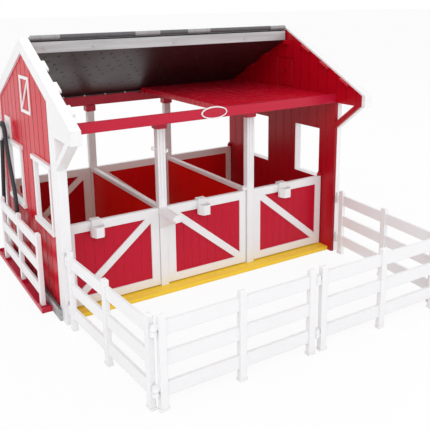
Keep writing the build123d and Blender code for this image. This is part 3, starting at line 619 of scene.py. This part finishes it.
class MeshMaker:
    """Collects simple solids in one mesh."""

    FACES = ((3, 2, 1, 0), (4, 5, 6, 7), (0, 1, 5, 4), (1, 2, 6, 5), (2, 3, 7, 6), (3, 0, 4, 7))

    def __init__(self, name: str) -> None:
        """Start an empty mesh.

        Args:
            name: Name of the object to make.
        """
        self.name = name
        self.bm = bmesh.new()

    def bar(self, low: Point, high: Point, frame: Matrix, turn: float, draft: float) -> None:
        """Add a bar that narrows towards its top by the draft.

        Args:
            low: Lowest corner in the bar's frame.
            high: Highest corner in the bar's frame.
            frame: Where the bar's frame stands.
            turn: Turn about the bar's own third axis, in radians.
            draft: How far each side leans in at the top.
        """
        mid = Vector(((low[0] + high[0]) / 2, (low[1] + high[1]) / 2, 0.0))
        spin = Matrix.Translation(mid) @ Matrix.Rotation(turn, 4, "Z") @ Matrix.Translation(-mid)
        corners = []
        for z, inset in ((low[2], 0.0), (high[2], draft)):
            x0, x1 = low[0] + inset, high[0] - inset
            y0, y1 = low[1] + inset, high[1] - inset
            for x, y in ((x0, y0), (x1, y0), (x1, y1), (x0, y1)):
                corners.append(self.bm.verts.new(frame @ spin @ Vector((x, y, z))))
        for face in self.FACES:
            self.bm.faces.new([corners[i] for i in face])

    def finish(self) -> bpy.types.Object:
        """Close the mesh and link its object.

        Returns:
            The new object.
        """
        bmesh.ops.recalc_face_normals(self.bm, faces=self.bm.faces)
        mesh = bpy.data.meshes.new(self.name)
        self.bm.to_mesh(mesh)
        self.bm.free()
        made = bpy.data.objects.new(self.name, mesh)
        bpy.context.scene.collection.objects.link(made)
        return made


@dataclass
class NodeDressing:
    """Finishes of the construction pieces that are shown as they are."""

    shop: PaintShop
    by_slot: dict[str, Paint] = field(
        default_factory=lambda: {
            "red_plastic": Paint.DOOR_RED,
            "white_plastic": Paint.WHITE,
            "yellow_plastic": Paint.FLOOR_YELLOW,
            "roof_grey_plastic": Paint.ROOF_DARK,
            "light_grey_plastic": Paint.FASCIA_GREY,
            "stone_grey_plastic": Paint.STONE,
            "steel_rod": Paint.STEEL,
            "hose_rubber": Paint.HOSE,
            "black_plastic": Paint.NOZZLE,
        }
    )
    by_node: dict[str, Paint] = field(
        default_factory=lambda: {
            "left_gable_shell": Paint.WALL_RED,
            "right_gable_shell": Paint.WALL_RED,
            "left_gable_liner": Paint.SHADED_INNER_RED,
            "right_gable_liner": Paint.SHADED_INNER_RED,
            "divider_panels": Paint.SCARLET,
            "front_beam": Paint.BEAM_RED,
            "rear_beam": Paint.BEAM_RED,
            "post_caps": Paint.BEAM_RED,
            "wash_tray": Paint.BEAM_RED,
            "loft_panel_left": Paint.LOFT_RED,
            "loft_panel_right": Paint.LOFT_RED,
            "rear_door_board_left": Paint.SHADED_INNER_RED,
            "rear_door_board_middle": Paint.REAR_RED,
            "rear_door_board_right": Paint.REAR_RED,
            "rear_roof": Paint.ROOF_LIGHT,
            "rear_roof_liner": Paint.ROOF_UNDERSIDE_SHADE,
            "sign_plate": Paint.SIGN,
        }
    )

    def build(self, frame: dict[str, Any]) -> None:
        """Dress every construction node.

        Args:
            frame: What the frame loader returned.
        """
        slots = {row["node"]: row["material_slot"] for row in frame["record"]["subparts"]}
        for name, piece in frame["nodes"].items():
            paint = self.by_node.get(name, self.by_slot[slots[name]])
            self.shop.dress(piece, paint)
            LOG.info("dressed %s with %s", name, paint.value.name)


@dataclass
class RoofDetails:
    """Raised marks under the rear roof and ribs inside the opening front roof."""

    shop: PaintShop
    slope_deg: float = ROOF_SLOPE
    axis_y: float = RIDGE_Y
    axis_z: float = 0.37232
    sink: float = 0.0002
    draft: float = 0.0002
    underside: float = 0.0194
    mark_length: float = 0.0048
    mark_width: float = 0.0009
    mark_height: float = 0.0004
    mark_pitch: float = 0.021
    row_pitch: float = 0.0165
    mark_turn: float = 0.75
    mark_scatter: float = 0.0045
    mark_share: float = 0.72
    mark_seed: int = 11
    turn_scatter: float = 0.3
    marked_start: float = 0.026
    marked_length: float = 0.17
    half_span: float = 0.205
    rib_height: float = 0.0055
    rib_thickness: float = 0.0016
    rib_start: float = 0.012
    rib_places: Sequence[float] = (-0.144, -0.072, 0.0, 0.072, 0.144)
    cross_rib_places: Sequence[float] = (0.07, 0.14)
    cross_rib_share: float = 0.7
    cross_rib_reach: float = 0.008
    inner_face: float = 0.0032
    panel_length: float = 0.2125

    def slope_frame(self) -> Matrix:
        """Frame whose second axis runs down the rear slope from the hinge."""
        stand = Matrix.Translation((0.0, self.axis_y, self.axis_z))
        return stand @ Matrix.Rotation(math.radians(-self.slope_deg), 4, "X")

    def marks(self) -> bpy.types.Object:
        """Short slanted marks moulded on the roof's underside."""
        maker = MeshMaker("roof_underside_marks")
        dice = random.Random(self.mark_seed)
        frame = self.slope_frame() @ Matrix.Rotation(math.pi, 4, "X")
        rows = int(self.marked_length / self.row_pitch)
        columns = int(2 * self.half_span / self.mark_pitch)
        top = self.underside + self.mark_height
        for row in range(rows):
            down = -(self.marked_start + row * self.row_pitch)
            shift = self.mark_pitch / 2 if row % 2 else 0.0
            for column in range(columns):
                x = -self.half_span + shift + column * self.mark_pitch
                x += dice.uniform(0, self.mark_scatter)
                y = down + dice.uniform(-0.5, 0.5) * self.mark_scatter
                turn = self.mark_turn + dice.uniform(-self.turn_scatter, self.turn_scatter)
                if dice.random() > self.mark_share:
                    continue
                low = (x, y, self.underside - self.sink)
                high = (x + self.mark_length, y + self.mark_width, top)
                maker.bar(low, high, frame, turn, self.draft)
        made = maker.finish()
        self.shop.dress(made, Paint.ROOF_UNDERSIDE_SHADE)
        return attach(made, "barn")

    def ribs(self) -> bpy.types.Object:
        """Stiffening ribs on the inner face of the opening roof."""
        maker = MeshMaker("front_roof_ribs")
        half = self.rib_thickness / 2
        foot = self.inner_face - 2 * self.sink
        frame = self.slope_frame()
        for x in self.rib_places:
            high = (x + half, self.panel_length, self.inner_face + self.rib_height)
            maker.bar((x - half, self.rib_start, foot), high, frame, 0.0, self.draft)
        reach = self.half_span + self.cross_rib_reach
        low_top = self.inner_face + self.rib_height * self.cross_rib_share
        for down in self.cross_rib_places:
            maker.bar((-reach, down - half, foot), (reach, down + half, low_top), frame, 0.0, self.draft)
        made = maker.finish()
        self.shop.dress(made, Paint.ROOF_DARK)
        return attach(made, "front_roof_body")

    def build(self) -> None:
        """Make both details."""
        for piece in (self.marks(), self.ribs()):
            LOG.info("made %s", piece.name)


@dataclass
class WashHose:
    """Hose that hangs over the wall peg, from the tray up and down to its nozzle."""

    shop: PaintShop
    front_edge: float = -0.1545
    plane_x: float = -0.2465
    radius: float = 0.0032
    length: float = 0.432
    route: Sequence[tuple[float, float]] = (
        (0.2920, 0.0090),
        (0.2920, 0.0310),
        (0.2860, 0.0570),
        (0.2790, 0.0940),
        (0.2715, 0.1310),
        (0.2630, 0.1680),
        (0.2550, 0.2000),
        (0.2526, 0.2380),
        (0.2318, 0.2380),
        (0.2260, 0.2020),
        (0.2155, 0.1730),
        (0.2010, 0.1440),
        (0.1920, 0.1160),
        (0.1915, 0.0880),
        (0.1970, 0.0600),
    )

    def points(self) -> list[Point]:
        """Route points in the part's frame, from the tray to the nozzle."""
        return [(self.plane_x, self.front_edge + back, up) for back, up in self.route]

    def build(self, nozzle: bpy.types.Object) -> bpy.types.Object:
        """Make the hose.

        Args:
            nozzle: The nozzle that hangs on its end; not used.

        Returns:
            The hose curve.
        """
        curve = bpy.data.curves.new("wash_hose", "CURVE")
        curve.dimensions = "3D"
        curve.resolution_u = 16
        curve.bevel_depth = self.radius
        curve.bevel_resolution = 6
        curve.use_fill_caps = True
        spline = curve.splines.new("NURBS")
        points = self.points()
        spline.points.add(len(points) - 1)
        for slot, point in zip(spline.points, points):
            slot.co = (*point, 1.0)
        spline.order_u = 3
        spline.use_endpoint_u = True
        made = bpy.data.objects.new("wash_hose", curve)
        bpy.context.scene.collection.objects.link(made)
        self.shop.dress(made, Paint.HOSE)
        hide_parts("hose")
        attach(made, "barn")
        LOG.info("made %s with %d route points", made.name, len(points))
        return made


@dataclass
class PhotoCamera:
    """Camera at the photograph's place."""

    place: Point = (-0.4630, -0.8814, 0.4107)
    yaw_deg: float = -30.13
    pitch_deg: float = -12.695
    roll_deg: float = -1.102
    focal_px: float = 612.06
    centre_px: tuple[float, float] = (192.993, 144.204)
    picture_px: float = 430.0
    sensor_mm: float = 36.0
    clip: tuple[float, float] = (0.01, 100.0)

    def build(self) -> bpy.types.Object:
        """Make the camera and make it the scene's own.

        Returns:
            The camera object.
        """
        turn = math.radians(-self.yaw_deg)
        tip = math.radians(self.pitch_deg)
        roll = math.radians(self.roll_deg)
        ahead = Vector((math.sin(turn) * math.cos(tip), math.cos(turn) * math.cos(tip), math.sin(tip)))
        right = Vector((math.cos(turn), -math.sin(turn), 0.0))
        up = right.cross(ahead)
        right, up = (
            right * math.cos(roll) + up * math.sin(roll),
            up * math.cos(roll) - right * math.sin(roll),
        )
        data = bpy.data.cameras.new("photo_camera")
        data.sensor_width = self.sensor_mm
        data.lens = self.focal_px / self.picture_px * self.sensor_mm
        half = self.picture_px / 2
        data.shift_x = (half - self.centre_px[0]) / self.picture_px
        data.shift_y = (self.centre_px[1] - half) / self.picture_px
        data.clip_start, data.clip_end = self.clip
        made = bpy.data.objects.new("photo_camera", data)
        bpy.context.scene.collection.objects.link(made)
        basis = Matrix((right, up, -ahead)).transposed().to_4x4()
        made.matrix_world = Matrix.Translation(self.place) @ basis
        bpy.context.scene.camera = made
        return made


@dataclass
class SoftLamp:
    """One large soft studio lamp."""

    name: str
    place: Point
    side: float
    power: float
    aim: Point = (0.0, -0.05, 0.15)

    def build(self) -> None:
        """Make the lamp and point it at the stable."""
        data = bpy.data.lights.new(self.name, "AREA")
        data.shape = "DISK"
        data.size = self.side
        data.energy = self.power
        made = bpy.data.objects.new(self.name, data)
        bpy.context.scene.collection.objects.link(made)
        made.location = self.place
        direction = Vector(self.aim) - Vector(self.place)
        made.rotation_euler = direction.to_track_quat("-Z", "Y").to_euler()


@dataclass
class Studio:
    """Pale floor, white surroundings and soft lamps."""

    floor_half: float = 30.0
    floor_level: float = -0.0004
    floor_white: float = 0.9
    floor_tones: tuple[Colour, Colour] = ((0.86, 0.86, 0.87), (0.88, 0.88, 0.88))
    ambient: float = 0.78
    lamps: Sequence[SoftLamp] = (
        SoftLamp("key_lamp", (-0.9, -1.6, 1.5), 1.5, 10.0),
        SoftLamp("fill_lamp", (-1.6, -0.6, 0.9), 1.4, 4.0),
        SoftLamp("side_lamp", (1.6, -1.3, 0.8), 1.4, 7.0),
        SoftLamp("back_lamp", (0.3, 1.4, 1.7), 1.3, 8.0),
    )

    def seen(self, graph: Graph) -> Value:
        """One for rays that should see the plain white background."""
        path = graph.node("ShaderNodeLightPath")
        kinds = ("Is Camera Ray", "Is Glossy Ray", "Is Transmission Ray")
        camera, glossy, through = (Value(graph, path.outputs[kind]) for kind in kinds)
        return camera.largest(glossy).largest(through)

    def floor(self) -> bpy.types.Object:
        """Pale floor that keeps the object's shadow."""
        mesh = bpy.data.meshes.new("studio_floor")
        h, z = self.floor_half, self.floor_level
        mesh.from_pydata([(-h, -h, z), (h, -h, z), (h, h, z), (-h, h, z)], [], [(0, 1, 2, 3)])
        made = bpy.data.objects.new("studio_floor", mesh)
        bpy.context.scene.collection.objects.link(made)
        material = bpy.data.materials.new("studio_floor_white")
        material.use_nodes = True
        graph = Graph(material.node_tree)
        tone = graph.mix(graph.noise(graph.place()[0], 3.0), *self.floor_tones)
        matt = graph.node("ShaderNodeBsdfDiffuse", None, {"Color": tone})
        white = graph.node("ShaderNodeEmission", None, {"Color": WHITE_LIGHT, "Strength": 1.0})
        share = self.seen(graph) * self.floor_white
        both = graph.node(
            "ShaderNodeMixShader", None, {0: share, 1: matt.outputs[0], 2: white.outputs[0]}
        )
        graph.node("ShaderNodeOutputMaterial", None, {"Surface": both.outputs[0]})
        mesh.materials.append(material)
        return made

    def world(self) -> None:
        """White surroundings, plainer for the light that falls on the object."""
        world = bpy.data.worlds.new("studio_world")
        bpy.context.scene.world = world
        world.use_nodes = True
        graph = Graph(world.node_tree)
        soft, white = (
            graph.node("ShaderNodeBackground", None, {"Color": WHITE_LIGHT, "Strength": strength})
            for strength in (self.ambient, 1.0)
        )
        both = graph.node(
            "ShaderNodeMixShader", None, {0: self.seen(graph), 1: soft.outputs[0], 2: white.outputs[0]}
        )
        graph.node("ShaderNodeOutputWorld", None, {"Surface": both.outputs[0]})

    def build(self) -> None:
        """Set up the studio."""
        bpy.context.scene.view_settings.view_transform = "Standard"
        self.floor()
        self.world()
        for lamp in self.lamps:
            lamp.build()
        LOG.info("studio ready with %d lamps", len(self.lamps))


def corners(box: tuple[Vector, Vector]) -> list[list[float]]:
    """Two corners as plain lists of numbers.

    Args:
        box: Lowest and highest corner.

    Returns:
        The same corners as lists.
    """
    return [[float(v) for v in corner] for corner in box]


def main() -> None:
    """Build the whole scene."""
    logging.basicConfig(level=logging.INFO, format="%(name)s: %(message)s")
    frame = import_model()
    PhotoCamera().build()
    Studio().build()
    shop = PaintShop()
    NodeDressing(shop).build(frame)
    RoofDetails(shop).build()
    WashHose(shop).build(frame["nodes"]["hose_nozzle"])


if __name__ == "__main__":
    main()
